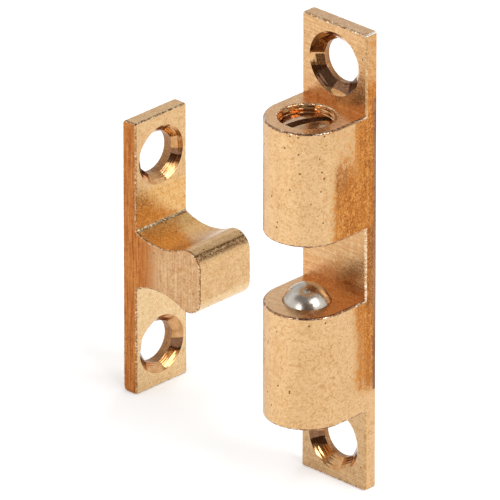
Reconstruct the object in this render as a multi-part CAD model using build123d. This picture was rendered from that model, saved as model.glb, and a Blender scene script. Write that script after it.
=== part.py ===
from build123d import *
import os
from math import asin, cos, sin, sqrt

# Double ball catch in solid brass: a catch with two sprung steel balls that face
# each other across a gap, and the strike whose waisted nose snaps in between them.
# Millimetres. Z runs along the catch, Y points back through its fixing plate to the
# door frame, X runs across it. The origin is the middle of the plate's back face.

# Catch: a milled bar with a fixing plate and two half-round ball housings
catch_length = 60.0
catch_width = 10.5
plate_thickness = 2.0
back_edge_radius = 0.45
housing_depth = 11.9        # plate back to the crown of a housing
lug_length = 10.5           # bare plate beyond each housing
burr_break = 0.12           # chamfer on the milled rims

# Fixing holes of the catch, countersunk from the front
catch_hole_inset = 5.25     # hole centre to the end of the plate
catch_hole_diameter = 5.5
catch_sink_diameter = 8.1

# Ball, its bore and the lip that holds it in
ball_diameter = 6.0
ball_sink = 0.85            # ball centre below the housing's inner face
ball_bore_clearance = 0.075  # on the radius
lip_clearance = 0.03        # on the radius, at the lip's rim
lip_depth = 0.35

# Adjusting screw and its tapped hole
screw_diameter = 7.0
screw_length = 4.0
screw_recess = 0.6          # top of the screw's crown below the housing's outer face
screw_clearance = 0.05      # on the radius
screw_chamfer = 0.35
screw_crown = 0.4           # rise of its rounded outer end
slot_width = 1.3
slot_depth = 1.1
slot_angles = {"upper": 70.0, "lower": 24.0}
screw_advance = 1.5         # deepest the screw is turned in from here
mouth_chamfer = 0.2
tap_runout = 0.1            # tapped length left beyond the screw turned fully in

# Coil spring between the ball and the screw
wire_diameter = 0.6
wire_sides = 8              # the wire is drawn as an octagon, which keeps the facets few
spring_clearance = 0.3      # coil to bore, on the radius
spring_turns = 5.5
seat_gap = 0.03             # spring to ball and spring to screw

# Strike: an extruded bar with a waisted nose
strike_length = 36.3
strike_width = 8.8
strike_thickness = 2.2
strike_back_radius = 0.6    # back edges at the two ends
strike_front_radius = 0.25  # front edges at the two ends
strike_hole_spacing = 25.4
strike_hole_diameter = 5.6
strike_sink_diameter = 7.6
nose_length = 10.8
nose_thickness = 8.4
waist_thickness = 6.0
waist_distance = 3.7        # plate front to the waist
nose_corner_radius = 2.2
nose_root_radius = 0.5
nose_clearance = 0.45       # nose to housing, on each side

# Where the strike stands beside the catch
strike_offset_x = -35.16
strike_offset_y = 2.28
strike_drop = 0.0           # strike's lower end above the catch's lower end

# Places that follow from the sizes
half_gap = nose_thickness / 2 + nose_clearance
housing_end = catch_length / 2 - lug_length
bore_y = -(housing_depth - catch_width / 2)
catch_hole_z = catch_length / 2 - catch_hole_inset
ball_centre_z = half_gap + ball_sink
screw_outer_z = housing_end - screw_recess
screw_inner_z = screw_outer_z - screw_length
ball_bore_radius = ball_diameter / 2 + ball_bore_clearance
tap_radius = screw_diameter / 2 + screw_clearance
coil_radius = ball_bore_radius - spring_clearance - wire_diameter / 2
strike_centre_z = -catch_length / 2 + strike_drop + strike_length / 2

brass = Color(0.80, 0.60, 0.34)
steel = Color(0.72, 0.72, 0.72)


def countersink(hole_diameter, sink_diameter, thickness):
    # Cutter for one screw hole: axis +Z, plate front at z = 0, plate below it
    cone_depth = min((sink_diameter - hole_diameter) / 2, thickness * 0.8)
    with BuildPart() as cutter:
        with BuildSketch(Plane.XZ):
            with BuildLine():
                Polyline(
                    (0, 1),
                    (sink_diameter / 2, 1),
                    (sink_diameter / 2, 0),
                    (hole_diameter / 2, -cone_depth),
                    (hole_diameter / 2, -thickness - 1),
                    (0, -thickness - 1),
                    close=True,
                )
            make_face()
        revolve(axis=Axis.Z)
    return cutter.part


def catch_blank():
    # Extruded bar, half round in front, milled back to the plate at the gap and lugs
    half_width = catch_width / 2
    with BuildPart() as blank:
        with BuildSketch(Plane.XY.offset(-catch_length / 2)):
            with BuildLine():
                side = Line((-half_width, bore_y), (-half_width, 0))
                back = Line(side @ 1, (half_width, 0))
                Line(back @ 1, (half_width, bore_y))
                RadiusArc((half_width, bore_y), (-half_width, bore_y), half_width)
            make_face()
        extrude(amount=catch_length)
        fillet(blank.edges().filter_by(Axis.Z).group_by(Axis.Y)[-1], back_edge_radius)
    clear = catch_width + housing_depth
    milled = [(0, 2 * half_gap)]
    for side in (1, -1):
        milled.append((side * (housing_end + lug_length), 2 * lug_length))
    part = blank.part
    for centre_z, height in milled:
        slab = Box(clear, clear, height)
        part -= Pos(0, -plate_thickness - clear / 2, centre_z) * slab
    return part


def ball_passage():
    # Cutter for the upper housing: lip, ball bore, tapped hole and chamfered mouth
    rim_radius = sqrt((ball_diameter / 2) ** 2 - ball_sink ** 2) + lip_clearance
    tap_start = screw_inner_z - screw_advance - tap_runout
    shoulder = tap_radius - ball_bore_radius
    with BuildPart() as cutter:
        with BuildSketch(Plane.XZ):
            with BuildLine():
                Polyline(
                    (0, half_gap - 1),
                    (rim_radius, half_gap - 1),
                    (rim_radius, half_gap),
                    (ball_bore_radius, half_gap + lip_depth),
                    (ball_bore_radius, tap_start - shoulder),
                    (tap_radius, tap_start),
                    (tap_radius, housing_end - mouth_chamfer),
                    (tap_radius + mouth_chamfer, housing_end),
                    (tap_radius + mouth_chamfer, housing_end + 1),
                    (0, housing_end + 1),
                    close=True,
                )
            make_face()
        revolve(axis=Axis.Z)
    return Pos(0, bore_y, 0) * cutter.part


def housing_rims(part):
    # Curved and straight rims where the mill left each housing's flat faces
    rims = []
    for edge in part.edges():
        middle = edge.center()
        level = abs(middle.Z)
        on_face = abs(level - half_gap) < 0.01 or abs(level - housing_end) < 0.01
        flat = edge.bounding_box().size.Z < 0.01
        outside = edge.length > catch_width / 4 and middle.Y < -plate_thickness - 0.1
        round_hole = edge.geom_type == GeomType.CIRCLE and edge.is_closed
        if on_face and flat and outside and not round_hole:
            rims.append(edge)
    return rims


def make_catch_body():
    body = catch_blank()
    body = chamfer(housing_rims(body), burr_break)
    passage = ball_passage()
    body -= passage
    body -= mirror(passage, about=Plane.XY)
    sink = countersink(catch_hole_diameter, catch_sink_diameter, plate_thickness)
    facing_front = Rot(90, 0, 0) * sink
    for side in (1, -1):
        body -= Pos(0, -plate_thickness, side * catch_hole_z) * facing_front
    return body


def make_ball(side):
    return Pos(0, bore_y, side * ball_centre_z) * Sphere(ball_diameter / 2)


def make_spring(side):
    # Ground coil spring, seated on the ball's shoulder at one end and on the screw
    ball_reach = (ball_diameter + wire_diameter) / 2 + seat_gap
    lowest = ball_centre_z + sqrt(ball_reach ** 2 - coil_radius ** 2)
    highest = screw_inner_z - seat_gap - wire_diameter / 2
    rise = highest - lowest
    coil = Helix(pitch=rise / spring_turns, height=rise, radius=coil_radius)
    start = Plane(origin=coil @ 0, z_dir=coil % 0)
    section = RegularPolygon(wire_diameter / 2, wire_sides)
    wire = sweep(start * section, path=coil, is_frenet=True)
    spring = Pos(0, bore_y, lowest) * wire
    return spring if side > 0 else mirror(spring, about=Plane.XY)


def screw_blank():
    # Chamfered at both ends, with a crowned outer end at the top
    radius, end = screw_diameter / 2, screw_length / 2
    rim = radius - screw_chamfer
    crown_radius = (rim ** 2 + screw_crown ** 2) / (2 * screw_crown)
    half_turn = asin(rim / crown_radius) / 2
    middle = (crown_radius * sin(half_turn), end - crown_radius * (1 - cos(half_turn)))
    with BuildPart() as blank:
        with BuildSketch(Plane.XZ):
            with BuildLine():
                ThreePointArc((0, end), middle, (rim, end - screw_crown))
                Polyline(
                    (rim, end - screw_crown),
                    (radius, end - screw_crown - screw_chamfer),
                    (radius, screw_chamfer - end),
                    (rim, -end),
                    (0, -end),
                    (0, end),
                )
            make_face()
        revolve(axis=Axis.Z)
    return blank.part


def make_adjusting_screw(side, slot_angle):
    blank = screw_blank()
    slot = Box(screw_diameter + 1, slot_width, 2 * slot_depth)
    blank -= Pos(0, 0, screw_length / 2) * Rot(0, 0, slot_angle) * slot
    middle = (screw_outer_z + screw_inner_z) / 2
    screw = Pos(0, bore_y, middle) * blank
    return screw if side > 0 else mirror(screw, about=Plane.XY)


def nose_outline():
    # Upper half of the nose in side view: root, waist, rounded corner, flat end.
    # The waist arc runs tangent into the corner arc.
    half_end = nose_thickness / 2
    half_waist = waist_thickness / 2
    corner_x = nose_length - nose_corner_radius
    corner_z = half_end - nose_corner_radius
    run = corner_x - waist_distance
    drop = half_waist - corner_z
    spare = nose_corner_radius - drop
    waist_radius = (run ** 2 + drop ** 2 - nose_corner_radius ** 2) / (2 * spare)
    centre_z = half_waist + waist_radius
    share = nose_corner_radius / (waist_radius + nose_corner_radius)
    meet_x = corner_x + (waist_distance - corner_x) * share
    meet_z = corner_z + (centre_z - corner_z) * share
    root_z = centre_z - sqrt(waist_radius ** 2 - waist_distance ** 2)
    root = (0, root_z)
    waist = (waist_distance, half_waist)
    meet = (meet_x, meet_z)
    bend = nose_corner_radius * sqrt(0.5)
    corner_middle = (corner_x + bend, corner_z + bend)
    end = (nose_length, corner_z)
    return root, waist, meet, corner_middle, end


def mirrored(point):
    return (point[0], -point[1])


def make_strike():
    half_length = strike_length / 2
    root, waist, meet, corner_middle, end = nose_outline()
    inside = -strike_thickness / 2
    with BuildPart() as bar:
        with BuildSketch(Plane.XZ):
            with Locations((-strike_thickness / 2, 0)):
                Rectangle(strike_thickness, strike_length)
            fillet(vertices().group_by(Axis.X)[0], strike_back_radius)
            fillet(vertices().group_by(Axis.X)[-1], strike_front_radius)
            with BuildLine():
                Line((inside, -root[1]), (inside, root[1]))
                Line((inside, root[1]), root)
                ThreePointArc(root, waist, meet)
                ThreePointArc(meet, corner_middle, end)
                Line(end, mirrored(end))
                ThreePointArc(mirrored(end), mirrored(corner_middle), mirrored(meet))
                ThreePointArc(mirrored(meet), mirrored(waist), mirrored(root))
                Line(mirrored(root), (inside, -root[1]))
            make_face()
        extrude(amount=strike_width / 2, both=True)
        roots = []
        for edge in bar.edges().filter_by(Axis.Y):
            middle = edge.center()
            if abs(middle.X) < 0.01 and abs(abs(middle.Z) - root[1]) < 0.01:
                roots.append(edge)
        fillet(roots, nose_root_radius)
    strike = bar.part
    sink = countersink(strike_hole_diameter, strike_sink_diameter, strike_thickness)
    facing_nose = Rot(0, 90, 0) * sink
    for side in (1, -1):
        strike -= Pos(0, 0, side * strike_hole_spacing / 2) * facing_nose
    place = Pos(strike_offset_x + strike_thickness, strike_offset_y, strike_centre_z)
    return place * strike


def save(name, solid, colour):
    solid.label = name
    solid.color = colour
    export_step(solid, f"parts/{name}.step")
    print(name, "volume", round(solid.volume, 3), "valid", solid.is_valid)


os.makedirs("parts", exist_ok=True)
save("catch_body", make_catch_body(), brass)
save("strike", make_strike(), brass)
for label, direction in (("upper", 1), ("lower", -1)):
    save(f"{label}_ball", make_ball(direction), steel)
    save(f"{label}_spring", make_spring(direction), steel)
    screw = make_adjusting_screw(direction, slot_angles[label])
    save(f"{label}_adjusting_screw", screw, brass)
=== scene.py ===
import bpy
import bmesh
import math
from mathutils import Matrix, Vector
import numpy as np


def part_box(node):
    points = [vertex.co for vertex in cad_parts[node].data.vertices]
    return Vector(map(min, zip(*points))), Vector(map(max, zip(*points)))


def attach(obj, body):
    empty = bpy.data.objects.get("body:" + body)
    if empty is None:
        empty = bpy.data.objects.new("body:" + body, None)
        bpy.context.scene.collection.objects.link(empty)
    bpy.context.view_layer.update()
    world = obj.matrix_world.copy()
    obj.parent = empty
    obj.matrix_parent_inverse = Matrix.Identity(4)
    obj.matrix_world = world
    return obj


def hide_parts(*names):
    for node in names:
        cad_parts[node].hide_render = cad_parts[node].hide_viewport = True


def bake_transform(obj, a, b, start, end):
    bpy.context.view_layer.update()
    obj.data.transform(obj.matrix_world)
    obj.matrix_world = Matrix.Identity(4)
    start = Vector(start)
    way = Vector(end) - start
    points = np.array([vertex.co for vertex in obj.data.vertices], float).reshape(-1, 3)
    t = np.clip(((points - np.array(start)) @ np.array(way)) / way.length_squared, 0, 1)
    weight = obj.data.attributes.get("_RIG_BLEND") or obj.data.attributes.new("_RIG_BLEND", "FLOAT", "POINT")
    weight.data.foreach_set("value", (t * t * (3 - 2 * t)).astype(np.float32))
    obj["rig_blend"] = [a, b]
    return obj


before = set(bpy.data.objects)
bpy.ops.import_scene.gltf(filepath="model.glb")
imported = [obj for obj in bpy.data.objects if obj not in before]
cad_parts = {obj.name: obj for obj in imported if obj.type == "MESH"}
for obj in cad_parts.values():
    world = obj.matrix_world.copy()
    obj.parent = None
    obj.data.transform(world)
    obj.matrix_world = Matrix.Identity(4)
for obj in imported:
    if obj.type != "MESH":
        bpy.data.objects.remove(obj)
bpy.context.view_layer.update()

mm = 0.001
white = (1, 1, 1)
nodeBoxes = {name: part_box(name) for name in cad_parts}


def boxInMm(name):
    return [corner / mm for corner in nodeBoxes[name]]


# Camera, floor and light

cameraView = {
    "azimuth": 43.94,       # degrees, 0 looks along +Y
    "elevation": 25.32,     # degrees above the floor
    "distance": 1605.9,     # mm from the aim point
    "lens": 966.1,          # mm, a very long lens as in the photo
    "sensor": 36.0,
    "aim": (-10.736, -5.267, -2.066),   # mm, what falls on the picture's centre
}


def lookDirection(azimuth, elevation):
    a, e = math.radians(azimuth), math.radians(elevation)
    return Vector((-math.sin(a) * math.cos(e), math.cos(a) * math.cos(e), -math.sin(e)))


def addCamera(view):
    data = bpy.data.cameras.new("studioCamera")
    data.lens = view["lens"]
    data.sensor_width = view["sensor"]
    camera = bpy.data.objects.new("studioCamera", data)
    bpy.context.scene.collection.objects.link(camera)
    forward = lookDirection(view["azimuth"], view["elevation"])
    camera.location = Vector(view["aim"]) * mm - forward * view["distance"] * mm
    camera.rotation_euler = forward.to_track_quat("-Z", "Y").to_euler()
    bpy.context.scene.camera = camera


def put(tree, kind, sockets=None, **settings):
    # one shader node, with its sockets set or linked
    node = tree.nodes.new("ShaderNode" + kind)
    for key, value in settings.items():
        setattr(node, key, value)
    for key, value in (sockets or {}).items():
        if isinstance(value, bpy.types.NodeSocket):
            tree.links.new(value, node.inputs[key])
        else:
            node.inputs[key].default_value = value
    return node


def combine(tree, way, first, second):
    return put(tree, "Math", {0: first, 1: second}, operation=way).outputs[0]


def opaque(colour):
    return (*colour, 1)


def emptyMaterial(name):
    material = bpy.data.materials.new(name)
    material.use_nodes = True
    material.node_tree.nodes.clear()
    return material


studio = {
    "floorHeight": nodeBoxes["catch_body"][0].z,
    "floorSize": 6.0,
    "floorColour": (0.86, 0.86, 0.86),
    "floorRoughness": 0.5,
    "floorGlow": 0.22,        # lifts the lit floor to white where the background shows
    "ambient": 0.6,           # world strength for plain diffuse light
    "lamps": {
        # name: (azimuth, elevation, distance in m, size in m, power in W, shows in the metal)
        "keyLamp": (-2, 38, 0.95, 0.64, 4.7, True),
        "leftLamp": (-146, 41, 0.9, 0.3, 0.35, False),
        "backLamp": (110, 40, 0.9, 0.3, 0.9, False),
        "frontLamp": (-84, 14, 0.29, 0.085, 0.14, True),
        "topLamp": (80, 75, 1.2, 0.7, 2.5, False),
        "edgeLamp": (57, 38.6, 0.3, 0.022, 0.0058, True),
    },
    # grey screens and ceilings that only show in the metal, as a darker room does
    "screens": {
        # name: (colour, first azimuth, last azimuth, bottom and top in m)
        "frontScreen": ((0.145, 0.1, 0.07), -78, -12, -0.03, 0.24),
        "backScreen": ((0.6, 0.58, 0.55), 28, 84, 0.2, 0.54),
        "leftScreen": ((0.74, 0.73, 0.72), 138, 196, -0.02, 0.16),
    },
    "screenRadius": 0.31,
    "ceilings": {
        # name: (colour, first azimuth, last azimuth)
        "frontCeiling": ((0.27, 0.255, 0.24), -134, 84),
        "windowCeiling": (white, -164, -134),
        "backCeiling": ((0.68, 0.67, 0.65), 84, 196),
    },
    "ceilingHeight": 0.75,
    "ceilingRadius": 1.1,
    "screenSteps": 48,
}


def showsBackground(tree):
    # 1 for rays that should see the plain background: camera, mirror and glass rays
    path = put(tree, "LightPath").outputs
    seen = combine(tree, "MAXIMUM", path["Is Camera Ray"], path["Is Glossy Ray"])
    return combine(tree, "MAXIMUM", seen, path["Is Transmission Ray"])


def addFloor(values):
    half = values["floorSize"] / 2
    mesh = bpy.data.meshes.new("studioFloor")
    corners = [(-half, -half, 0), (half, -half, 0), (half, half, 0), (-half, half, 0)]
    mesh.from_pydata(corners, [], [(0, 1, 2, 3)])
    floor = bpy.data.objects.new("studioFloor", mesh)
    floor.location.z = values["floorHeight"]
    bpy.context.scene.collection.objects.link(floor)
    paper = emptyMaterial("paleFloor")
    tree = paper.node_tree
    colour, roughness = opaque(values["floorColour"]), values["floorRoughness"]
    matt = put(tree, "BsdfDiffuse", {"Color": colour, "Roughness": roughness})
    amount = combine(tree, "MULTIPLY", showsBackground(tree), values["floorGlow"])
    glow = put(tree, "Emission", {"Color": opaque(white), "Strength": amount})
    both = put(tree, "AddShader", {0: matt.outputs[0], 1: glow.outputs[0]})
    put(tree, "OutputMaterial", {"Surface": both.outputs[0]})
    mesh.materials.append(paper)


def addWorld(values):
    world = bpy.data.worlds.new("studioWorld")
    bpy.context.scene.world = world
    world.use_nodes = True
    tree = world.node_tree
    tree.nodes.clear()
    seen = showsBackground(tree)
    strength = put(tree, "MapRange", {"Value": seen, "To Min": values["ambient"], "To Max": 1.0})
    light = put(tree, "Background", {"Color": opaque(white), "Strength": strength.outputs["Result"]})
    put(tree, "OutputWorld", {"Surface": light.outputs[0]})
    world.cycles.sampling_method = "NONE"


def aimAt(thing, point):
    thing.rotation_euler = (Vector(point) - thing.location).to_track_quat("-Z", "Y").to_euler()


def towards(azimuth, elevation):
    a, e = math.radians(azimuth), math.radians(elevation)
    return Vector((math.cos(a) * math.cos(e), math.sin(a) * math.cos(e), math.sin(e)))


def addLamps(values):
    for name, (azimuth, elevation, distance, size, power, shows) in values["lamps"].items():
        data = bpy.data.lights.new(name, "AREA")
        data.size = size
        data.energy = power
        lamp = bpy.data.objects.new(name, data)
        lamp.location = towards(azimuth, elevation) * distance
        lamp.visible_glossy = shows
        bpy.context.scene.collection.objects.link(lamp)
        aimAt(lamp, (0, 0, 0))


def addScreen(name, colour, points, faces):
    paint = emptyMaterial(name)
    plain = put(paint.node_tree, "Emission", {"Color": opaque(colour), "Strength": 1.0})
    put(paint.node_tree, "OutputMaterial", {"Surface": plain.outputs[0]})
    mesh = bpy.data.meshes.new(name)
    mesh.from_pydata(points, [], faces)
    mesh.materials.append(paint)
    screen = bpy.data.objects.new(name, mesh)
    bpy.context.scene.collection.objects.link(screen)
    screen.visible_camera = False
    screen.visible_shadow = False
    screen.visible_diffuse = False


def addScreens(values):
    # curved upright screens round the object, and a round ceiling in sectors
    steps = values["screenSteps"]

    def sweep(first, last, radius):
        return [towards(first + (last - first) * i / steps, 0) * radius for i in range(steps + 1)]
    for name, (colour, first, last, low, high) in values["screens"].items():
        points = []
        for out in sweep(first, last, values["screenRadius"]):
            points += [(out.x, out.y, low), (out.x, out.y, high)]
        faces = [(2 * i, 2 * i + 2, 2 * i + 3, 2 * i + 1) for i in range(steps)]
        addScreen(name, colour, points, faces)
    height = values["ceilingHeight"]
    for name, (colour, first, last) in values["ceilings"].items():
        rim = [(out.x, out.y, height) for out in sweep(first, last, values["ceilingRadius"])]
        addScreen(name, colour, [(0, 0, height)] + rim, [(0, i + 1, i + 2) for i in range(steps)])


addCamera(cameraView)
addFloor(studio)
addWorld(studio)
addLamps(studio)
addScreens(studio)
bpy.context.scene.view_settings.view_transform = "Standard"
print("studio ready")


# Finishes

def blendColour(tree, amount, *colours):
    first, second = [c if isinstance(c, bpy.types.NodeSocket) else opaque(c) for c in colours]
    return put(tree, "Mix", {0: amount, 6: first, 7: second}, data_type="RGBA").outputs[2]


def mappedCoords(tree, spread, offset):
    coords = put(tree, "TexCoord").outputs["Object"]
    return put(tree, "Mapping", {"Vector": coords, "Scale": spread, "Location": offset}).outputs[0]


def noiseField(tree, perMm, stretch=(1, 1, 1), detail=3.0, roughness=0.55, offset=(0, 0, 0)):
    # noise with perMm features in a millimetre, stretched along chosen axes
    place = mappedCoords(tree, [s * perMm / mm for s in stretch], offset)
    sockets = {"Vector": place, "Scale": 1.0, "Detail": detail, "Roughness": roughness}
    return put(tree, "TexNoise", sockets).outputs["Fac"]


def remap(tree, value, low, high, toLow, toHigh, smooth=True):
    sockets = {"Value": value, "From Min": low, "From Max": high, "To Min": toLow, "To Max": toHigh}
    node = put(tree, "MapRange", sockets)
    if smooth:
        node.interpolation_type = "SMOOTHSTEP"
    return node.outputs["Result"]


def objectAxes(tree):
    # object coordinates in millimetres
    coords = put(tree, "TexCoord").outputs["Object"]
    scaled = put(tree, "VectorMath", {0: coords, 1: (1 / mm, 1 / mm, 1 / mm)}, operation="MULTIPLY")
    return put(tree, "SeparateXYZ", {0: scaled.outputs[0]}).outputs


def dotField(tree, perMm, radius, share, offset=(0, 0, 0)):
    # 1 inside small round specks that only some cells have
    place = mappedCoords(tree, [perMm / mm] * 3, offset)
    cells = put(tree, "TexVoronoi", {"Vector": place, "Scale": 1.0})
    inner, outer = [radius * perMm * edge for edge in noiseBands["speck"]]
    inside = remap(tree, cells.outputs["Distance"], inner, outer, 1.0, 0.0)
    pick = put(tree, "SeparateXYZ", {0: cells.outputs["Color"]}).outputs[0]
    return combine(tree, "MULTIPLY", inside, combine(tree, "LESS_THAN", pick, share))


def summed(tree, parts):
    # weighted sum of fields, for one height or one mask
    total = None
    for value, weight in parts:
        part = combine(tree, "MULTIPLY", value, weight)
        total = part if total is None else combine(tree, "ADD", total, part)
    return total


def product(tree, *values):
    total = values[0]
    for value in values[1:]:
        total = combine(tree, "MULTIPLY", total, value)
    return total


# The part of each noise that fades from no mark to a full one
noiseBands = {
    "cloud": (0.35, 0.68),
    "lines": (0.36, 0.64),
    "darkMottle": (0.47, 0.33),
    "paleMottle": (0.54, 0.67),
    "darkGrain": (0.48, 0.32),
    "paleGrain": (0.53, 0.67),
    "roughGrain": (0.3, 0.7),
    "zone": (0.25, 0.75),
    "speck": (0.6, 1.2),      # shares of the speck's radius
    "steelCloud": (0.35, 0.7),
    "steelRough": (0.3, 0.7),
}


def brassFinish(name, look, zones):
    # bare brass: drawn or milled lines, mottle, grain, specks, and zones of other colour, many of them
    # painted shade or painted reflection
    material = bpy.data.materials.new(name)
    material.use_nodes = True
    tree = material.node_tree
    shader = tree.nodes["Principled BSDF"]
    shader.inputs["Metallic"].default_value = look["metallic"]
    cloud = noiseField(tree, look["cloudPerMm"], detail=4.0)
    lines = noiseField(tree, look["linesPerMm"], look["linesStretch"], detail=3.0, roughness=0.6)
    mottle = noiseField(tree, look["mottlePerMm"], detail=3.0, roughness=0.65, offset=(5, 2, 9))
    grain = noiseField(tree, look["grainPerMm"], detail=2.0, roughness=0.7, offset=(3, 1, 7))
    specks = dotField(tree, look["specksPerMm"], look["speckSize"], look["speckShare"])
    tarnished = remap(tree, cloud, *noiseBands["cloud"], 0, 1)
    colour = blendColour(tree, tarnished, look["colour"], look["tarnish"])
    dark, pale, lined = look["darkMottle"], look["paleMottle"], look["lineColour"]
    for where, zone in zones:
        ragged = zone["ragged"]
        reach = summed(tree, ((where(tree), 1.0), (mottle, ragged), (grain, ragged)))
        low, high = [edge + ragged for edge in noiseBands["zone"]]
        deeper = remap(tree, reach, low, high, 0.0, 1.0)
        colour = blendColour(tree, deeper, colour, zone["colour"])
        dark = blendColour(tree, deeper, dark, zone["dark"])
        pale = blendColour(tree, deeper, pale, zone["pale"])
        lined = blendColour(tree, deeper, lined, zone["pale"])
    marks = (("lines", lines, look["linesTint"], lined),
             ("darkMottle", mottle, look["mottleTint"], dark),
             ("paleMottle", mottle, look["mottleTint"], pale),
             ("darkGrain", grain, look["grainTint"], dark),
             ("paleGrain", grain, look["grainTint"], pale))
    for band, field, strength, tint in marks:
        amount = remap(tree, field, *noiseBands[band], 0, strength)
        colour = blendColour(tree, amount, colour, tint)
    colour = blendColour(tree, specks, colour, look["speckColour"])
    tree.links.new(colour, shader.inputs["Base Color"])
    rough = remap(tree, grain, *noiseBands["roughGrain"], *look["roughness"])
    tree.links.new(rough, shader.inputs["Roughness"])
    height = summed(tree, ((lines, look["linesHeight"]), (mottle, look["mottleHeight"]),
                           (grain, look["grainHeight"]), (specks, -look["speckDepth"])))
    bump = put(tree, "Bump", {"Height": height, "Distance": mm, "Strength": 1.0})
    tree.links.new(bump.outputs[0], shader.inputs["Normal"])
    return material


# Bare brass: light gold where the drawn skin is left, more orange where it was sawn or milled
brassLooks = {"drawn": {
    "colour": (0.72, 0.46, 0.228),
    "tarnish": (0.665, 0.405, 0.185),
    "cloudPerMm": 0.35,
    "linesPerMm": 2.4,
    "linesStretch": (1, 1, 0.025),     # lines run along the bar
    "linesTint": 0.25,
    "lineColour": (0.77, 0.52, 0.27),
    "linesHeight": 0.01,
    "mottlePerMm": 1.6,
    "mottleTint": 0.5,
    "mottleHeight": 0.012,
    "darkMottle": (0.5, 0.25, 0.09),
    "paleMottle": (0.86, 0.62, 0.36),
    "grainPerMm": 3.6,
    "grainTint": 0.65,
    "grainHeight": 0.012,
    "specksPerMm": 1.1,
    "speckSize": 0.13,         # mm, radius
    "speckShare": 0.35,
    "speckDepth": 0.02,
    "speckColour": (0.16, 0.07, 0.025),
    "roughness": (0.26, 0.4),
    "metallic": 1.0,
}}


def addLook(name, base, **changes):
    # every other look is told by how it differs from one before it
    brassLooks[name] = {**brassLooks[base], **changes}


addLook("housingFace", "drawn", colour=(0.65, 0.375, 0.18), tarnish=(0.56, 0.31, 0.14),
        linesPerMm=6.0, linesStretch=(0.03, 1, 1), linesTint=0.6, lineColour=(0.76, 0.5, 0.28),
        linesHeight=0.014, mottleTint=0.4, mottleHeight=0.006, grainTint=0.45, grainHeight=0.006,
        speckShare=0.08, roughness=(0.24, 0.36))
addLook("gapFace", "housingFace", colour=(0.58, 0.31, 0.13), tarnish=(0.5, 0.25, 0.095),
        lineColour=(0.78, 0.52, 0.27), grainTint=0.4, mottleHeight=0.009, grainHeight=0.009)
addLook("back", "drawn", colour=(0.66, 0.39, 0.17), tarnish=(0.56, 0.29, 0.11))
addLook("backEdge", "drawn", colour=(0.26, 0.085, 0.025), tarnish=(0.18, 0.055, 0.015), metallic=0.25,
        darkMottle=(0.08, 0.025, 0.01), paleMottle=(0.42, 0.2, 0.08), roughness=(0.5, 0.7))
addLook("sawnEnd", "drawn", colour=(0.6, 0.37, 0.2), tarnish=(0.52, 0.3, 0.15), linesPerMm=4.0,
        linesStretch=(0.06, 1, 1), linesTint=0.5, lineColour=(0.72, 0.5, 0.31), linesHeight=0.02,
        speckShare=0.12)
# Edges that the mill and saw left, with painted light: dark colours painted as shade where they turn away,
# and near-white flecks painted as glints on the burrs
addLook("edge", "drawn", colour=(0.62, 0.38, 0.18), tarnish=(0.42, 0.22, 0.09), cloudPerMm=1.0,
        mottlePerMm=2.6, mottleHeight=0.05, grainHeight=0.04, linesHeight=0.0, linesTint=0.0,
        mottleTint=0.9, grainTint=0.8, darkMottle=(0.2, 0.08, 0.03), paleMottle=(0.97, 0.88, 0.74),
        speckShare=0.0, roughness=(0.08, 0.2))
# painted shade: the housings' rims are painted dark, with near-white flecks painted as glints
addLook("rimDark", "edge", colour=(0.42, 0.22, 0.1), tarnish=(0.28, 0.13, 0.055), mottlePerMm=2.2,
        grainTint=0.3, darkMottle=(0.14, 0.05, 0.018), paleMottle=(1.0, 0.93, 0.8),
        mottleHeight=0.06, roughness=(0.05, 0.12))
# painted highlight: rims beside the gap and round the tapped mouths are painted pale, with near-white flecks
# as glints
addLook("rimBright", "edge", colour=(0.8, 0.54, 0.3), tarnish=(0.66, 0.4, 0.2), mottlePerMm=3.2,
        grainTint=0.6, darkMottle=(0.36, 0.16, 0.055), paleMottle=(1.0, 0.95, 0.84))
addLook("softEdge", "edge", colour=(0.62, 0.385, 0.18), tarnish=(0.54, 0.31, 0.13), mottleTint=0.6,
        grainTint=0.6, mottleHeight=0.02, grainHeight=0.015, darkMottle=(0.34, 0.15, 0.05),
        paleMottle=(0.84, 0.62, 0.36), roughness=(0.26, 0.4))
# painted highlight: the edges at the lugs' ends are painted near white
addLook("corner", "edge", colour=(1.0, 0.97, 0.9), tarnish=(1.0, 0.93, 0.82), mottleTint=0.3,
        grainTint=0.2, paleMottle=white)
# painted shade and glints: the strike's edges are painted dark brown, with pale flecks
addLook("strikeEdge", "edge", colour=(0.5, 0.26, 0.1), tarnish=(0.36, 0.17, 0.06), mottlePerMm=3.0,
        mottleTint=0.7, grainTint=0.6, darkMottle=(0.22, 0.08, 0.03), paleMottle=(0.95, 0.82, 0.62))
# painted shade: the crease at the nose's root and the plate ends' front edges are painted dark, with pale
# flecks painted as glints
addLook("band", "edge", colour=(0.46, 0.3, 0.15), tarnish=(0.3, 0.17, 0.07), mottlePerMm=3.0,
        darkMottle=(0.1, 0.04, 0.015), paleMottle=(0.95, 0.8, 0.58), mottleHeight=0.04,
        grainHeight=0.03)
addLook("strikeSkin", "drawn", colour=(0.71, 0.455, 0.225), tarnish=(0.66, 0.4, 0.18),
        linesStretch=(1, 0.025, 1), mottleTint=0.4, grainTint=0.5, mottleHeight=0.01,
        roughness=(0.2, 0.34))
addLook("strikeSawn", "drawn", colour=(0.64, 0.41, 0.22), tarnish=(0.6, 0.35, 0.165), cloudPerMm=0.5,
        linesPerMm=4.2, linesStretch=(1, 1, 0.045), linesTint=0.75, lineColour=(0.46, 0.24, 0.1),
        linesHeight=0.05, mottleTint=0.3, grainTint=0.35, darkMottle=(0.3, 0.11, 0.03),
        speckShare=0.1)
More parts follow.
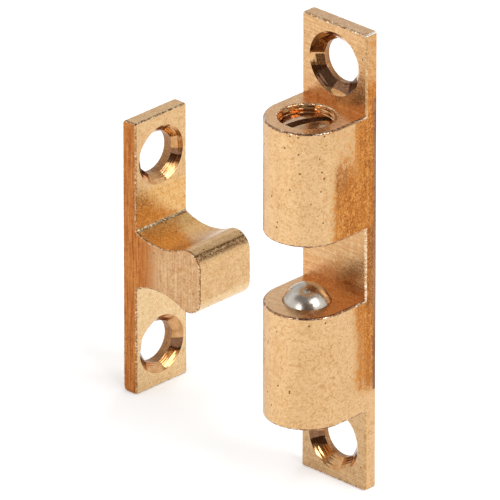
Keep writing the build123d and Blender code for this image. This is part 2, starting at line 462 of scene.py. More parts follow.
# Turned surfaces: shiny cones and bores, duller drilled walls and screws; the hole walls and the screw slots
# are painted darker as shade
addLook("bored", "drawn", colour=(0.69, 0.385, 0.175), tarnish=(0.52, 0.245, 0.085), cloudPerMm=0.9,
        linesPerMm=5.0, linesStretch=(1, 1, 1), linesTint=0.15, mottleTint=0.2, grainTint=0.15,
        mottleHeight=0.002, grainHeight=0.002, linesHeight=0.001, roughness=(0.08, 0.18),
        speckShare=0.08)
# painted shade: the plain walls inside the holes are painted dark
addLook("drilled", "bored", colour=(0.34, 0.15, 0.06), tarnish=(0.26, 0.11, 0.04),
        roughness=(0.3, 0.42))
addLook("screw", "bored", colour=(0.62, 0.42, 0.27), tarnish=(0.54, 0.34, 0.2), mottleTint=0.4,
        grainTint=0.4, roughness=(0.14, 0.26))
# painted shade: the screw's slot is painted darker than its head
addLook("screwSlot", "screw", colour=(0.42, 0.29, 0.2), tarnish=(0.3, 0.19, 0.12),
        roughness=(0.25, 0.4))


# Where the brass is coloured differently, much of it painted shade or painted reflection. Each place is a
# product of fades:
# axis, from and to in mm, strength before and after
places = {
    "catchSide": (("Z", -17.8, -15.2, 0, 1), ("Z", 20, 25, 1, 0.3), ("Z", -11, -4, 0.62, 1)),
    "sideBack": (("Y", -4.8, -2.8, 0, 1.15),),
    "sideBackEdge": (("Y", -2.4, -1.6, 0, 0.4),),
    "upperTurn": (("Y", -8.3, -6.2, 0, 1), ("Z", 18, 7.5, 0.25, 1.4), ("Z", 1, 3, 0, 1)),
    "gapStrip": (("Y", -2.6, -1.8, 0, 0.85), ("Z", -7, -4.5, 0, 1), ("Z", 3.5, 6.5, 1, 0)),
    "turnPatch": (("Z", 9, 12, 0, 0.55), ("Z", 13.5, 16.5, 1, 0), ("Y", -8, -7, 0, 1),
                  ("Y", -5.4, -4.4, 1, 0)),
    "farSide": (("X", -5.6, -3.2, 1, 0),),
    "rightHalf": (("X+Y", -9.5, -5.5, 0, 1),),
    "aboveLowerHousing": (("Z", -3.6, 0.4, 1, 0),),
    "aboveUpperHousing": (("Z", 19.5, 23, 1, 0), ("Z", 12, 14, 0, 1)),
    "lowerLug": (("Z", -20, -19, 1, 0),),
    "noseRoot": (("X", -29, -25, 1, 0), ("X", -34, -33.5, 0, 1), ("Z", -5, -1, 1, 0),
                 ("Z", -12.5, -11, 0, 1)),
    "foot": (("X", -34, -33.5, 0, 1), ("Z", -15, -13, 1, 0)),
    "noseCorner": (("X-Z", -15.5, -14.7, 0, 1), ("X-Z", -14.3, -13, 1, 0), ("X", -25.5, -24.5, 0, 1)),
    "sawnRoot": (("X", -33.5, -27, 1, 0),),
}
# heights of the painted dark reflection in the countersinks
darkFacetLevels = ((-26.6, -24.9), (-1.2, 0.6), (21.2, 23.5))    # bottom and top in mm
darkFacetFade = (0.1, 0.2)        # mm, how far each level fades outside and inside its ends


def faded(tree, axes, place, smooth=True):
    fields = [remap(tree, axes[axis], *fade, smooth) for axis, *fade in places[place]]
    return product(tree, *fields)


def shadedSides(tree):
    # painted shade: the catch's sides are painted darker orange towards the back, and the upper housing's
    # further round to its front, deepest towards the gap
    axes = objectAxes(tree)
    either = combine(tree, "MAXIMUM", faded(tree, axes, "sideBack"), faded(tree, axes, "upperTurn"))
    both = combine(tree, "ADD", either, faded(tree, axes, "sideBackEdge"))
    return product(tree, faded(tree, axes, "catchSide"), both)


def besideGap(tree):
    # painted shade: the plate's side is painted darkest along the gap, and the turn of the upper housing in
    # one patch
    axes = objectAxes(tree)
    return combine(tree, "MAXIMUM", faded(tree, axes, "gapStrip"), faded(tree, axes, "turnPatch"))


def farSide(tree):
    # painted shade: the bar's other side is painted duller and greyer
    return faded(tree, objectAxes(tree), "farSide")


def towardsPlate(tree):
    # painted reflection of the plate: the housings' milled faces are more orange towards the plate's right
    # half
    axes = objectAxes(tree)
    return faded(tree, {"X+Y": combine(tree, "ADD", axes["X"], axes["Y"])}, "rightHalf")


def towardsHousing(tree):
    # painted reflection of each housing: the milled plate is more orange just above each housing
    axes = objectAxes(tree)
    lower, upper = [faded(tree, axes, f"above{side}Housing") for side in ("Lower", "Upper")]
    return combine(tree, "MAXIMUM", lower, upper)


def onLowerLug(tree):
    # painted light: the lower lug's milled face is painted paler, as if it mirrored a brighter floor
    return faded(tree, objectAxes(tree), "lowerLug")


def roundTheRoot(tree):
    # the strike's skin is more golden on the nose's upper flank and the plate next to it
    return faded(tree, objectAxes(tree), "noseRoot")


def onFoot(tree):
    # painted light: the strike's front below its nose is painted paler, standing in for the bright floor it
    # mirrors
    return faded(tree, objectAxes(tree), "foot")


def alongNoseCorner(tree):
    # a dark, rough strip along the nose's rounded corner
    axes = objectAxes(tree)
    slant = combine(tree, "SUBTRACT", axes["X"], axes["Z"])
    return faded(tree, {"X": axes["X"], "X-Z": slant}, "noseCorner")


def onDarkFacet(tree):
    # painted reflection of a dark room: the countersinks' facets are painted dark in bands at three levels
    height = objectAxes(tree)["Z"]
    outside, inside = darkFacetFade
    total = None
    for low, high in darkFacetLevels:
        enter = remap(tree, height, low - outside, low + inside, 0.0, 1.0)
        leave = remap(tree, height, high - inside, high + outside, 1.0, 0.0)
        band = product(tree, enter, leave)
        total = band if total is None else combine(tree, "MAXIMUM", total, band)
    return total


def sawnTowardsPlate(tree):
    # the strike's sawn sides darken from the nose's end towards the plate
    return faded(tree, objectAxes(tree), "sawnRoot", smooth=False)


def tints(ragged, colour, dark, pale):
    # a zone's colours, and how far the mottle and grain break up its border
    return {"ragged": ragged, "colour": colour, "dark": dark, "pale": pale}


# painted shade on the catch's sides towards the back and the gap
sideShade = tints(2.0, (0.465, 0.152, 0.022), (0.19, 0.055, 0.007), (0.78, 0.385, 0.108))
# painted shade along the gap
shaded = tints(1.2, (0.29, 0.085, 0.014), (0.11, 0.03, 0.005), (0.72, 0.36, 0.11))
# painted shade on the bar's far side
farSideShade = tints(0.5, (0.56, 0.365, 0.19), (0.36, 0.19, 0.08), (0.7, 0.5, 0.3))
# painted reflection of the plate in the housings' milled faces
plateReflection = tints(0.6, (0.67, 0.325, 0.125), (0.38, 0.15, 0.04), (0.84, 0.53, 0.27))
# painted reflection of each housing in the plate above it
housingReflection = tints(0.6, (0.61, 0.295, 0.12), (0.36, 0.14, 0.04), (0.82, 0.52, 0.26))
# painted light on the lower lug
paintedLugLight = tints(0.0, (0.53, 0.335, 0.165), (0.34, 0.17, 0.065), (0.74, 0.52, 0.29))
goldenRoot = tints(1.0, (0.75, 0.405, 0.13), (0.44, 0.18, 0.038), (0.9, 0.66, 0.34))
darkCornerStrip = tints(1.4, (0.15, 0.06, 0.016), (0.06, 0.02, 0.005), (0.88, 0.62, 0.34))
# painted light on the strike's foot
paintedFootLight = tints(0.5, (0.785, 0.547, 0.287), (0.54, 0.3, 0.12), (0.9, 0.7, 0.43))
# painted dark reflection in the countersinks
darkFacetReflection = tints(0.15, (0.2, 0.09, 0.045), (0.07, 0.028, 0.012), (0.62, 0.4, 0.24))
sawnDeep = tints(0.6, (0.35, 0.092, 0.014), (0.17, 0.045, 0.006), (0.6, 0.25, 0.065))

zonesOn = {
    "drawn": ((shadedSides, sideShade), (besideGap, shaded), (farSide, farSideShade)),
    "housingFace": ((towardsPlate, plateReflection),),
    "gapFace": ((towardsHousing, housingReflection), (onLowerLug, paintedLugLight)),
    "bored": ((onDarkFacet, darkFacetReflection),),
    "strikeSkin": ((roundTheRoot, goldenRoot), (alongNoseCorner, darkCornerStrip), (onFoot, paintedFootLight)),
    "strikeSawn": ((sawnTowardsPlate, sawnDeep),),
}
finishes = {}
for name, look in brassLooks.items():
    finishes[name] = brassFinish(f"{name}Brass", look, zonesOn.get(name, ()))

steelLook = {
    # finish: (colour, least and most roughness)
    # the ball's grey steel carries a warm tint, a painted reflection of the brass round it
    "ball": ((0.6, 0.55, 0.485), 0.2, 0.3),
    "spring": ((0.42, 0.42, 0.43), 0.22, 0.34),
    "cloudPerMm": 0.8,
    "shade": 0.82,            # how dark its clouds are
    "scratchPerMm": 6.0,
    "scratchStretch": (1, 0.1, 0.4),
    "scratchHeight": 0.003,   # mm
}


def steelFinish(name, values):
    material = bpy.data.materials.new(f"{name}Steel")
    material.use_nodes = True
    tree = material.node_tree
    shader = tree.nodes["Principled BSDF"]
    shader.inputs["Metallic"].default_value = 1.0
    colour, low, high = values[name]
    cloud = noiseField(tree, values["cloudPerMm"], detail=4.0)
    scratch = noiseField(tree, values["scratchPerMm"], values["scratchStretch"], detail=2.0)
    clouded = remap(tree, cloud, *noiseBands["steelCloud"], 0, 1)
    tint = blendColour(tree, clouded, colour, [c * values["shade"] for c in colour])
    tree.links.new(tint, shader.inputs["Base Color"])
    rough = remap(tree, cloud, *noiseBands["steelRough"], low, high)
    tree.links.new(rough, shader.inputs["Roughness"])
    height = values["scratchHeight"] * mm
    bump = put(tree, "Bump", {"Height": scratch, "Distance": height, "Strength": 1.0})
    tree.links.new(bump.outputs[0], shader.inputs["Normal"])
    return material


for metal in ("ball", "spring"):
    finishes[metal] = steelFinish(metal, steelLook)
print("finishes ready")


# Mesh helpers

def newObject(name, mesh):
    thing = bpy.data.objects.new(name, mesh)
    bpy.context.scene.collection.objects.link(thing)
    return thing


def loftMesh(name, rings):
    # closed skin through rings of points, each ring with as many points
    mesh = bpy.data.meshes.new(name)
    build = bmesh.new()
    rows = [[build.verts.new(p) for p in ring] for ring in rings]
    count = len(rows[0])
    for below, above in zip(rows, rows[1:]):
        for i in range(count):
            k = (i + 1) % count
            build.faces.new((below[i], below[k], above[k], above[i]))
    build.faces.new(list(reversed(rows[0])))
    build.faces.new(rows[-1])
    bmesh.ops.recalc_face_normals(build, faces=build.faces)
    build.to_mesh(mesh)
    build.free()
    return mesh


def arcPoints(centre, radius, start, end, steps):
    points = []
    for i in range(steps + 1):
        a = math.radians(start + (end - start) * i / steps)
        points.append((centre[0] + radius * math.cos(a), centre[1] + radius * math.sin(a)))
    return points


def turnedMesh(name, rows, segments):
    # turned about Z: each row is a height and a radius, which may be a function of the angle
    rings = []
    for z, radius in rows:
        ring = []
        for i in range(segments):
            a = 2 * math.pi * i / segments
            r = radius(a, z) if callable(radius) else radius
            ring.append((r * math.cos(a) * mm, r * math.sin(a) * mm, z * mm))
        rings.append(ring)
    return loftMesh(name, rings)


def settled(thing):
    # the mesh with its modifiers worked in
    bpy.context.view_layer.update()
    graph = bpy.context.evaluated_depsgraph_get()
    mesh = bpy.data.meshes.new_from_object(thing.evaluated_get(graph))
    thing.modifiers.clear()
    thing.data = mesh


def cutAway(thing, cutterMesh, place=None):
    cutter = newObject("cutter", cutterMesh)
    if place is not None:
        cutterMesh.transform(place)
        if place.determinant() < 0:
            cutterMesh.flip_normals()
    modifier = thing.modifiers.new("cut", "BOOLEAN")
    modifier.operation = "DIFFERENCE"
    modifier.solver = "EXACT"
    modifier.object = cutter
    settled(thing)
    bpy.data.objects.remove(cutter)


def boxMesh(low, high):
    mesh = bpy.data.meshes.new("block")
    build = bmesh.new()
    bmesh.ops.create_cube(build, size=1.0)
    for v in build.verts:
        for k in range(3):
            v.co[k] = (high[k] if v.co[k] > 0 else low[k]) * mm
    build.to_mesh(mesh)
    build.free()
    return mesh


brokenEdge = {
    "slot": 1,               # material slot that marks the rounded edges until they are dressed
    "segments": 4,
    "sharpest": 30.0,        # degrees; only sharper corners are rounded
    "weightLayer": "bevel_weight_edge",
}


def breakEdges(thing, width, sharpest=brokenEdge["sharpest"]):
    # small rounding along the outer edges only
    mesh = thing.data
    build = bmesh.new()
    build.from_mesh(mesh)
    layers = build.edges.layers.float
    weight = layers.get(brokenEdge["weightLayer"]) or layers.new(brokenEdge["weightLayer"])
    for edge in build.edges:
        outer = len(edge.link_faces) == 2 and edge.is_convex
        if outer and edge.calc_face_angle() > math.radians(sharpest):
            edge[weight] = 1.0
    build.to_mesh(mesh)
    build.free()
    mesh.materials.clear()
    for name in ("drawn", "edge"):
        mesh.materials.append(finishes[name])
    modifier = thing.modifiers.new("break", "BEVEL")
    modifier.limit_method = "WEIGHT"
    modifier.width = width * mm
    modifier.segments = brokenEdge["segments"]
    modifier.use_clamp_overlap = False
    modifier.material = brokenEdge["slot"]
    settled(thing)


smoothing = {
    "sharpest": 32.0,        # degrees; sharper edges stay sharp
    "areaWeight": 60,
}


def smoothFaces(thing, sharpest=smoothing["sharpest"]):
    build = bmesh.new()
    build.from_mesh(thing.data)
    for face in build.faces:
        face.smooth = True
    for edge in build.edges:
        edge.smooth = len(edge.link_faces) == 2 and edge.calc_face_angle() < math.radians(sharpest)
    build.to_mesh(thing.data)
    build.free()
    modifier = thing.modifiers.new("weighted", "WEIGHTED_NORMAL")
    modifier.keep_sharp = True
    modifier.weight = smoothing["areaWeight"]
    settled(thing)


def dress(thing, names, choose):
    # each face takes the finish that choose(centre in mm, normal, present slot) names
    slots = [face.material_index for face in thing.data.polygons]
    thing.data.materials.clear()
    for name in names:
        thing.data.materials.append(finishes[name])
    for face, slot in zip(thing.data.polygons, slots):
        picked = choose(face.center / mm, face.normal, slot)
        face.material_index = names.index(picked)


# How much of a face's normal lies along an axis, for telling cut surfaces apart
facing = {"flat": 0.95, "mouthFlat": 0.97, "square": 0.9, "back": 0.7, "corner": 0.3, "side": 0.15,
          "wall": 0.1}
# How near in mm a face's centre must be to count as part of a feature
near = {"surface": 0.01, "hole": 0.05, "sink": 0.06, "end": 0.1, "plate": 0.2, "mouth": 0.3, "bore": 0.4}


def holeFinish(fromHole, alongHole, values):
    # the countersink's cone or the plain wall behind it; None outside the hole
    if fromHole >= values["sink"] + near["sink"] or alongHole >= facing["flat"]:
        return None
    isWall = alongHole < facing["wall"] and fromHole < values["hole"] + near["hole"]
    return "drilled" if isWall else "bored"


# Screw threads, shared by the tapped holes and the adjusting screws

thread = {
    "pitch": 0.5,
    "holeMajor": 3.55,      # radii in mm
    "holeMinor": 3.27,
    "screwMajor": 3.48,
    "screwMinor": 3.20,
    "start": 0.5,           # turns
    "flat": 0.1,            # share of the flank's rise left flat at root and at crest
    "rowsPerTurn": 10,
}


def threadRadius(inner, outer):
    # vee thread: the radius swings between root and crest once a pitch
    flat = thread["flat"]

    def radius(angle, z):
        turn = (z / thread["pitch"] - angle / (2 * math.pi) + thread["start"]) % 1.0
        rise = 1 - abs(2 * turn - 1)
        eased = min(1.0, max(0.0, (rise - flat) / (1 - 2 * flat)))
        return inner + (outer - inner) * eased
    return radius


def threadRows(bottom, top, radius):
    steps = int((top - bottom) / thread["pitch"] * thread["rowsPerTurn"])
    return [(bottom + (top - bottom) * i / steps, radius) for i in range(steps + 1)]


# Countersunk holes, the same kind in both plates

holeCutter = {
    "around": 144,           # segments
    "clear": 1.0,            # mm that a cutter reaches past the metal
}
countersink = {
    "steps": 24,             # rows down the cone
    "wobble": 0.10,          # radians, so that no two flats are as wide
    "rimFade": 2.6,          # how fast the flats begin under the rim
    "holeFade": 8.0,         # and end above the hole, down to their least share
    "leastFlat": 0.35,
    "coneEnd": 0.012,        # mm below the cone
    "rimEdge": (0.008, 0.004),
    "rimClear": (0.02, 0.03),
}


def sinkCutter(values, phase):
    # front at z = 0; the cone has the flats and rings that a chattering tool leaves
    tool = countersink
    hole, sink, flats = values["hole"], values["sink"], values["flats"]
    depth = sink - hole

    def marked(share):
        flatness = values["flatness"] * min(1.0, tool["rimFade"] * share)
        flatness *= min(1.0, tool["holeFade"] * (1 - share) + tool["leastFlat"])
        ring = values["ringHeight"] * math.sin(2 * math.pi * values["rings"] * share)

        def radius(angle, z):
            turned = angle + phase + tool["wobble"] * math.sin(2 * angle + phase)
            across = (turned * flats / (2 * math.pi)) % 1.0 - 0.5
            chord = math.cos(math.pi / flats) / math.cos(2 * math.pi * across / flats)
            return (sink - depth * share) * (1 + flatness * (chord - 1)) + ring
        return radius
    steps, clear = tool["steps"], holeCutter["clear"]
    rows = [(-values["plate"] - clear, hole), (-depth - tool["coneEnd"], hole)]
    rows += [(-depth * (1 - i / steps), marked(1 - i / steps)) for i in range(1, steps)]
    (edgeDepth, edgeIn), (clearUp, clearOut) = tool["rimEdge"], tool["rimClear"]
    rows += [(-edgeDepth, sink - edgeIn), (clearUp, sink + clearOut), (clear, sink + clearOut)]
    return turnedMesh("sink", rows, holeCutter["around"])


# Catch body: drawn bar, milled to a plate with two half-round housings

catchBody = {
    "plate": 2.0,
    "backRadius": 0.45,
    "backSteps": 5,
    "darkEdge": 0.32,        # dark strip before the rounded back edge, and where it starts and ends
    "darkEdgeSpan": (-16.8, 21.5),
    "lug": 10.5,
    "halfGap": 4.65,
    "edge": 0.24,
    "roundSteps": 56,
    "flatSteps": 8,
    "ballSink": 0.85,
    "ballRadius": 3.0,
    "ballBore": 3.075,
    "lipGap": 0.03,
    "lipDepth": 0.35,
    "lipChamfer": 0.06,
    "lipEdge": 0.001,
    "tapStart": 13.3,
    "tapRunIn": 0.4,         # cone between the bore and the thread
    "mouthChamfer": 0.2,
    "mouthRows": (0.2, 0.4, 0.6, 0.75, 0.87, 0.95),
    "mouthEdge": 0.005,
    "mouthClear": (0.02, 0.06),
    "mouthBeads": 23,        # chatter marks round the mouth's chamfer, their height and their drift
    "mouthBead": 0.05,
    "beadDrift": 1.7,
    "beadDriftWaves": 3,
    "holeInset": 5.25,
    "hole": 2.75,
    "sink": 4.05,
    "sinkPhases": {1: 0.4, -1: 2.1},
    "flats": 9,              # chatter flats round each countersink, and how flat they are
    "flatness": 0.75,
    "rings": 5,              # feed rings down the cone
    "ringHeight": 0.009,
    "clear": 2.0,            # mm that the milling blocks reach past the bar
}
catchLow, catchHigh = boxInMm("catch_body")
halfLength = catchHigh.z
halfWidth = catchHigh.x
boreY = catchLow.y + halfWidth
housingEnd = halfLength - catchBody["lug"]


def housingPlace(side):
    # takes an upper housing's piece, made about Z, to the upper or the lower bore
    place = Matrix.Translation((0, boreY * mm, 0))
    return place if side > 0 else place @ Matrix.Rotation(math.pi, 4, "X")


def catchOutline(values):
    r, steps = values["backRadius"], values["flatSteps"]
    points = arcPoints((0, boreY), halfWidth, 180, 360, values["roundSteps"])
    # no point of the outline may lie within the rounded edges on the plate's front plane
    front = -values["plate"] - 2 * values["edge"]
    depths = [boreY + (front - boreY) * i / steps for i in range(1, steps + 1)]
    depths += [-values["plate"] + 2 * values["edge"], -r - values["darkEdge"]]
    points += [(halfWidth, y) for y in depths]
    points += arcPoints((halfWidth - r, -r), r, 0, 90, values["backSteps"])
    points += arcPoints((-halfWidth + r, -r), r, 90, 180, values["backSteps"])
    points += [(-halfWidth, y) for y in reversed(depths)]
    return points


def passageCutter(values):
    # upper ball passage, from the gap out to the tapped mouth
    gap, bore, tapStart = values["halfGap"], values["ballBore"], values["tapStart"]
    rim = math.sqrt(values["ballRadius"] ** 2 - values["ballSink"] ** 2) + values["lipGap"]
    hole = threadRadius(thread["holeMinor"], thread["holeMajor"])
    chamfer = values["mouthChamfer"]
    mouth = housingEnd - chamfer
    lip, clear = values["lipChamfer"], holeCutter["clear"]
    rows = [(gap - clear, rim + lip), (gap - values["lipEdge"], rim + lip), (gap + lip, rim),
            (gap + values["lipDepth"], bore), (tapStart - values["tapRunIn"], bore)]
    rows += threadRows(tapStart, mouth, hole)

    def opening(angle, z):
        share = min(1.0, (z - mouth) / chamfer)
        rounding = chamfer * (1 - math.sqrt(1 - share ** 2))
        drift = values["beadDrift"] * math.sin(values["beadDriftWaves"] * angle)
        bead = values["mouthBead"] * share * math.sin(values["mouthBeads"] * angle + drift)
        return max(hole(angle, z), thread["holeMajor"] + rounding + bead)
    rows += [(mouth + share * chamfer, opening) for share in values["mouthRows"]]
    clearUp, clearOut = values["mouthClear"]
    wide = thread["holeMajor"] + chamfer + clearOut
    rows += [(housingEnd - values["mouthEdge"], opening), (housingEnd + clearUp, wide),
             (housingEnd + clear, wide)]
    return turnedMesh("passage", rows, holeCutter["around"])


def makeCatchBody(values):
    outline = catchOutline(values)
    levels = (-halfLength, *values["darkEdgeSpan"], halfLength)
    rings = [[(x * mm, y * mm, z * mm) for x, y in outline] for z in levels]
    body = newObject("catchBodyDetailed", loftMesh("catchBody", rings))
    gap, clear = values["halfGap"], values["clear"]
    out, past = halfWidth + clear, halfLength + clear
    for low, high in ((-gap, gap), (housingEnd, past), (-past, -housingEnd)):
        cutAway(body, boxMesh((-out, catchLow.y - clear, low), (out, -values["plate"], high)))
    breakEdges(body, values["edge"])
    passage = passageCutter(values)
    lower = passage.copy()
    cutAway(body, passage, housingPlace(1))
    cutAway(body, lower, housingPlace(-1))
    holeZ = halfLength - values["holeInset"]
    for side, phase in values["sinkPhases"].items():
        place = Matrix.Translation((0, -values["plate"] * mm, side * holeZ * mm))
        cutAway(body, sinkCutter(values, phase), place @ Matrix.Rotation(math.pi / 2, 4, "X"))

    # rims off the plate get painted shade; edges beside the gap and at the lugs' ends get painted highlights
    def edgeFinish(centre, normal, onPlate):
        if not onPlate:
            return "rimDark"
        if abs(normal.x) <= facing["side"]:
            return "edge"
        if abs(normal.z) >= facing["corner"]:
            return "corner"
        return "rimBright" if abs(centre.z) < gap + near["end"] else "softEdge"

    def boreFinish(centre, normal):
        fromBore = math.hypot(centre.x, centre.y - boreY)
        inMouth = fromBore < thread["holeMajor"] + near["mouth"]
        # the mouth's rounded rim takes the painted highlight
        if abs(centre.z) > housingEnd - values["mouthChamfer"] and inMouth:
            if abs(normal.z) < facing["mouthFlat"]:
                return "rimBright"
        inBore = fromBore < thread["holeMajor"] + near["bore"] and abs(normal.z) < facing["flat"]
        return "bored" if inBore else None

    def finishOf(centre, normal, slot):
        onPlate = centre.y > -values["plate"] - near["plate"]
        if slot == brokenEdge["slot"]:
            return edgeFinish(centre, normal, onPlate)
        turned = boreFinish(centre, normal)
        if turned is None and onPlate:
            fromHole = math.hypot(centre.x, abs(centre.z) - holeZ)
            turned = holeFinish(fromHole, abs(normal.y), values)
        if turned:
            return turned
        if abs(normal.z) > facing["square"]:
            return "sawnEnd" if abs(centre.z) > halfLength - near["end"] else "housingFace"
        if normal.y > facing["back"]:
            return "back"
        if normal.y < -facing["square"] and onPlate:
            return "gapFace"
        darkFrom, darkTo = values["darkEdgeSpan"]
        atBack = centre.y > -values["backRadius"] - values["darkEdge"]
        return "backEdge" if atBack and darkFrom < centre.z < darkTo else "drawn"
    dress(body, ["drawn", "edge", "housingFace", "gapFace", "back", "backEdge", "sawnEnd", "bored",
                 "drilled", "rimDark", "rimBright", "softEdge", "corner"], finishOf)
    smoothFaces(body)
    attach(body, "fixed_parts")
    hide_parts("catch_body")


makeCatchBody(catchBody)
print("catch body ready")


# Strike: drawn bar with a waisted nose, sawn to width

strike = {
    "plate": 2.2,
    "backRadius": 0.6,
    "frontRadius": 0.25,
    "noseThickness": 8.4,
    "waistThickness": 6.0,
    "waistDistance": 3.7,
    "cornerRadius": 2.2,
    "rootRadius": 0.5,
    "edge": 0.2,
    "sharpest": 50.0,        # degrees; only sharper corners are rounded
    "arcSteps": {"back": 10, "front": 4, "root": 6, "waist": 22, "corner": 18},
    "holeSpacing": 25.4,
    "hole": 2.8,
    "sink": 3.8,
    "sinkPhases": {1: 1.2, -1: 3.0},
    "flats": 8,
    "flatness": 0.8,
    "rings": 5,
    "ringHeight": 0.007,
    "bandShare": 0.8,        # how much of the root's fillet is painted dark, as shade in the crease
}
strikeLow, strikeHigh = boxInMm("strike")
strikeMid = (strikeLow + strikeHigh) / 2
plateFrontX = strikeLow.x + strike["plate"]


def upperStrikeOutline(values):
    # upper half in side view, from the back of the plate to the end of the nose
    half = (strikeHigh.z - strikeLow.z) / 2
    length = strikeHigh.x - plateFrontX
    corner = values["cornerRadius"]
    cornerCentre = (length - corner, values["noseThickness"] / 2 - corner)
    waist = values["waistThickness"] / 2
    run = cornerCentre[0] - values["waistDistance"]
    drop = waist - cornerCentre[1]
    waistRadius = (run ** 2 + drop ** 2 - corner ** 2) / (2 * (corner - drop))
    waistCentre = (values["waistDistance"], waist + waistRadius)
    root = values["rootRadius"]
    inner = waistRadius - root
    rootCentre = (root, waistCentre[1] - math.sqrt(inner ** 2 - (root - waistCentre[0]) ** 2))

    def fromWaist(point):
        angle = math.atan2(point[1] - waistCentre[1], point[0] - waistCentre[0])
        return math.degrees(angle) % 360
    rootEnd, waistEnd = fromWaist(rootCentre), fromWaist(cornerCentre)
    back, front, steps = values["backRadius"], values["frontRadius"], values["arcSteps"]
    points = arcPoints((-values["plate"] + back, half - back), back, 180, 90, steps["back"])
    points += arcPoints((-front, half - front), front, 90, 0, steps["front"])
    points += arcPoints(rootCentre, root, 180, rootEnd, steps["root"])
    points += arcPoints(waistCentre, waistRadius, rootEnd, waistEnd, steps["waist"])[1:]
    points += arcPoints(cornerCentre, corner, waistEnd - 180, 0, steps["corner"])[1:]
    return points


def makeStrike(values):
    upper = upperStrikeOutline(values)
    outline = upper + [(x, -z) for x, z in reversed(upper)]
    rings = []
    for y in (strikeLow.y, strikeHigh.y):
        rings.append([((plateFrontX + x) * mm, y * mm, (strikeMid.z + z) * mm) for x, z in outline])
    body = newObject("strikeDetailed", loftMesh("strike", rings))
    breakEdges(body, values["edge"], values["sharpest"])
    halfSpacing = values["holeSpacing"] / 2
    for side, phase in values["sinkPhases"].items():
        centre = Vector((plateFrontX, strikeMid.y, strikeMid.z + side * halfSpacing)) * mm
        place = Matrix.Translation(centre) @ Matrix.Rotation(math.pi / 2, 4, "Y")
        cutAway(body, sinkCutter(values, phase), place)
    endZ = (strikeHigh.z - strikeLow.z) / 2

    def finishOf(centre, normal, slot):
        if slot == brokenEdge["slot"]:
            return "strikeEdge"
        out, up = centre.x - plateFrontX, abs(centre.z - strikeMid.z)
        fromHole = math.hypot(centre.y - strikeMid.y, up - halfSpacing)
        turned = holeFinish(fromHole, abs(normal.x), values)
        if turned and out < near["surface"]:
            return turned
        if abs(normal.y) > facing["square"]:
            return "strikeSawn"
        # painted shade in the root's crease and along the plate ends' front edges
        inRoot = near["surface"] < out < values["rootRadius"] * values["bandShare"]
        front = values["frontRadius"]
        atEnd = -front < out < -near["surface"] and up > endZ - front
        return "band" if inRoot or atEnd else "strikeSkin"
    dress(body, ["strikeSkin", "strikeEdge", "strikeSawn", "bored", "drilled", "band"], finishOf)
    smoothFaces(body)
    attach(body, "fixed_parts")
    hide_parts("strike")


makeStrike(strike)
print("strike ready")


# Balls, screws and springs

def keepBall(name):
    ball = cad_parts[name]
    ball.data.materials.clear()
    ball.data.materials.append(finishes["ball"])


adjustingScrew = {
    "chamfer": 0.35,
    "crown": 0.4,            # rise of the rounded outer end
    "crownSteps": 12,
    "tip": 0.05,             # radius of the small flat that closes the crown
    "recess": 0.6,
    "slotWidth": 1.3,
    "slotDepth": 1.1,
    "slotFlare": 0.06,
    "slotAngle": {"upper": 70.0, "lower": 24.0},
    "slotReach": 5.0,        # half the slot cutter's length, and how far it stands out
    "slotClear": 1.0,
    "around": 96,
}


def makeScrew(name, side, values):
    low, high = boxInMm(f"{name}_adjusting_screw")
    bottom = low.z if side > 0 else -high.z
    top = housingEnd - values["recess"]
    worm = threadRadius(thread["screwMinor"], thread["screwMajor"])
    rim = thread["screwMajor"] - values["chamfer"]
    crown, crownSteps = values["crown"], values["crownSteps"]
    crownFoot = top - crown
    crownRadius = (rim ** 2 + crown ** 2) / (2 * crown)

    def radius(angle, z):
        return min(worm(angle, z), rim + min(z - bottom, crownFoot - z))
    rows = threadRows(bottom, crownFoot, radius)
    for i in range(1, crownSteps):
        out = rim * (1 - i / crownSteps)
        rows.append((top - crownRadius + math.sqrt(crownRadius ** 2 - out ** 2), out))
    rows.append((top, values["tip"]))
    screw = newObject(f"{name}ScrewDetailed", turnedMesh("screw", rows, values["around"]))
    half, flare, depth = values["slotWidth"] / 2, values["slotFlare"], values["slotDepth"]
    reach, clear = values["slotReach"], values["slotClear"]
    right = [(half, -depth), (half, -flare), (half + flare, 0), (half + flare, clear)]
    profile = [(-half, -depth)] + right + [(-w, z) for w, z in reversed(right[1:])]
    rings = [[(x * mm, w * mm, (top + z) * mm) for w, z in profile] for x in (-reach, reach)]
    turn = math.radians(values["slotAngle"][name])
    cutAway(screw, loftMesh("slot", rings), Matrix.Rotation(turn, 4, "Z"))

    def finishOf(centre, normal, slot):
        across = abs(centre.y * math.cos(turn) - centre.x * math.sin(turn))
        inSlot = across < half + near["surface"] and centre.z > top - depth - near["surface"]
        return "screwSlot" if inSlot else "screw"
    dress(screw, ["screw", "screwSlot"], finishOf)
    screw.data.transform(housingPlace(side))
    smoothFaces(screw)
    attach(screw, f"{name}_screw")
    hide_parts(f"{name}_adjusting_screw")


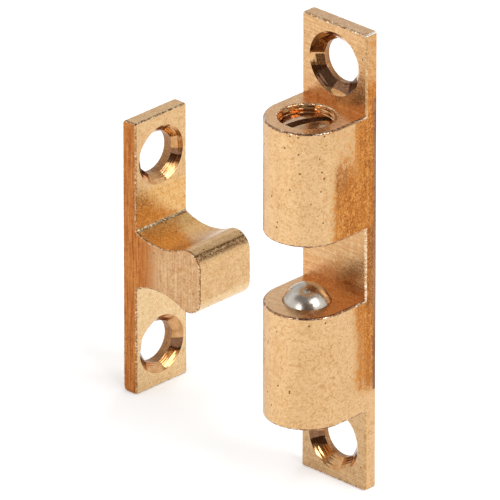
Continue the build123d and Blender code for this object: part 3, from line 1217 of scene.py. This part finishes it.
coilSpring = {
    "wire": 0.3,             # wire radius
    "coil": 2.475,           # mean coil radius
    "turns": 5.5,
    "closedTurns": 0.9,      # at each end, wound close
    "closedGap": 0.03,
    "stepsPerTurn": 40,
    "around": 12,
    "sharpest": 60.0,        # degrees; sharper edges stay sharp
    "ballShare": 0.6,        # share of the turns that the ball pushes together
}


def makeSpring(name, side, values):
    low, high = boxInMm(f"{name}_spring")
    bottom, top = (low.z, high.z) if side > 0 else (-high.z, -low.z)
    wire, coil = values["wire"], values["coil"]
    rise = top - bottom - 2 * wire
    closed, turns = values["closedTurns"], values["turns"]
    closePitch = 2 * wire + values["closedGap"]
    openPitch = (rise - 2 * closed * closePitch) / (turns - 2 * closed)

    def heightAt(turn):
        if turn < closed:
            return turn * closePitch
        if turn > turns - closed:
            return rise - (turns - turn) * closePitch
        return closed * closePitch + (turn - closed) * openPitch
    steps = int(turns * values["stepsPerTurn"])
    rings = []
    for i in range(steps + 1):
        turn = turns * i / steps
        a = 2 * math.pi * turn
        out = Vector((math.cos(a), math.sin(a), 0))
        centre = out * coil + Vector((0, 0, bottom + wire + heightAt(turn)))
        ring = []
        for k in range(values["around"]):
            b = 2 * math.pi * k / values["around"]
            ring.append((centre + (out * math.cos(b) + Vector((0, 0, 1)) * math.sin(b)) * wire) * mm)
        rings.append(ring)
    # two lengths that meet in the middle: one gives way to the ball, the other to the screw
    split = int(steps * values["ballShare"])
    middle = bottom + wire + heightAt(turns * split / steps)
    lengths = (
        ("BallEnd", rings[:split + 1], (f"{name}_ball", "fixed_parts"), (bottom + 2 * wire, middle)),
        ("ScrewEnd", rings[split:], ("fixed_parts", f"{name}_spring_seat"), (middle, top - 2 * wire)),
    )
    for end, part, bodies, heights in lengths:
        spring = newObject(f"{name}Spring{end}", loftMesh("spring", part))
        spring.data.transform(housingPlace(side))
        dress(spring, ["spring"], lambda centre, normal, slot: "spring")
        smoothFaces(spring, values["sharpest"])
        start, stop = [(0, boreY * mm, side * h * mm) for h in heights]
        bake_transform(spring, bodies[0], bodies[1], start, stop)
        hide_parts(f"{name}_spring")


for label, direction in (("upper", 1), ("lower", -1)):
    keepBall(f"{label}_ball")
    makeScrew(label, direction, adjustingScrew)
    makeSpring(label, direction, coilSpring)
print("balls, screws and springs ready")
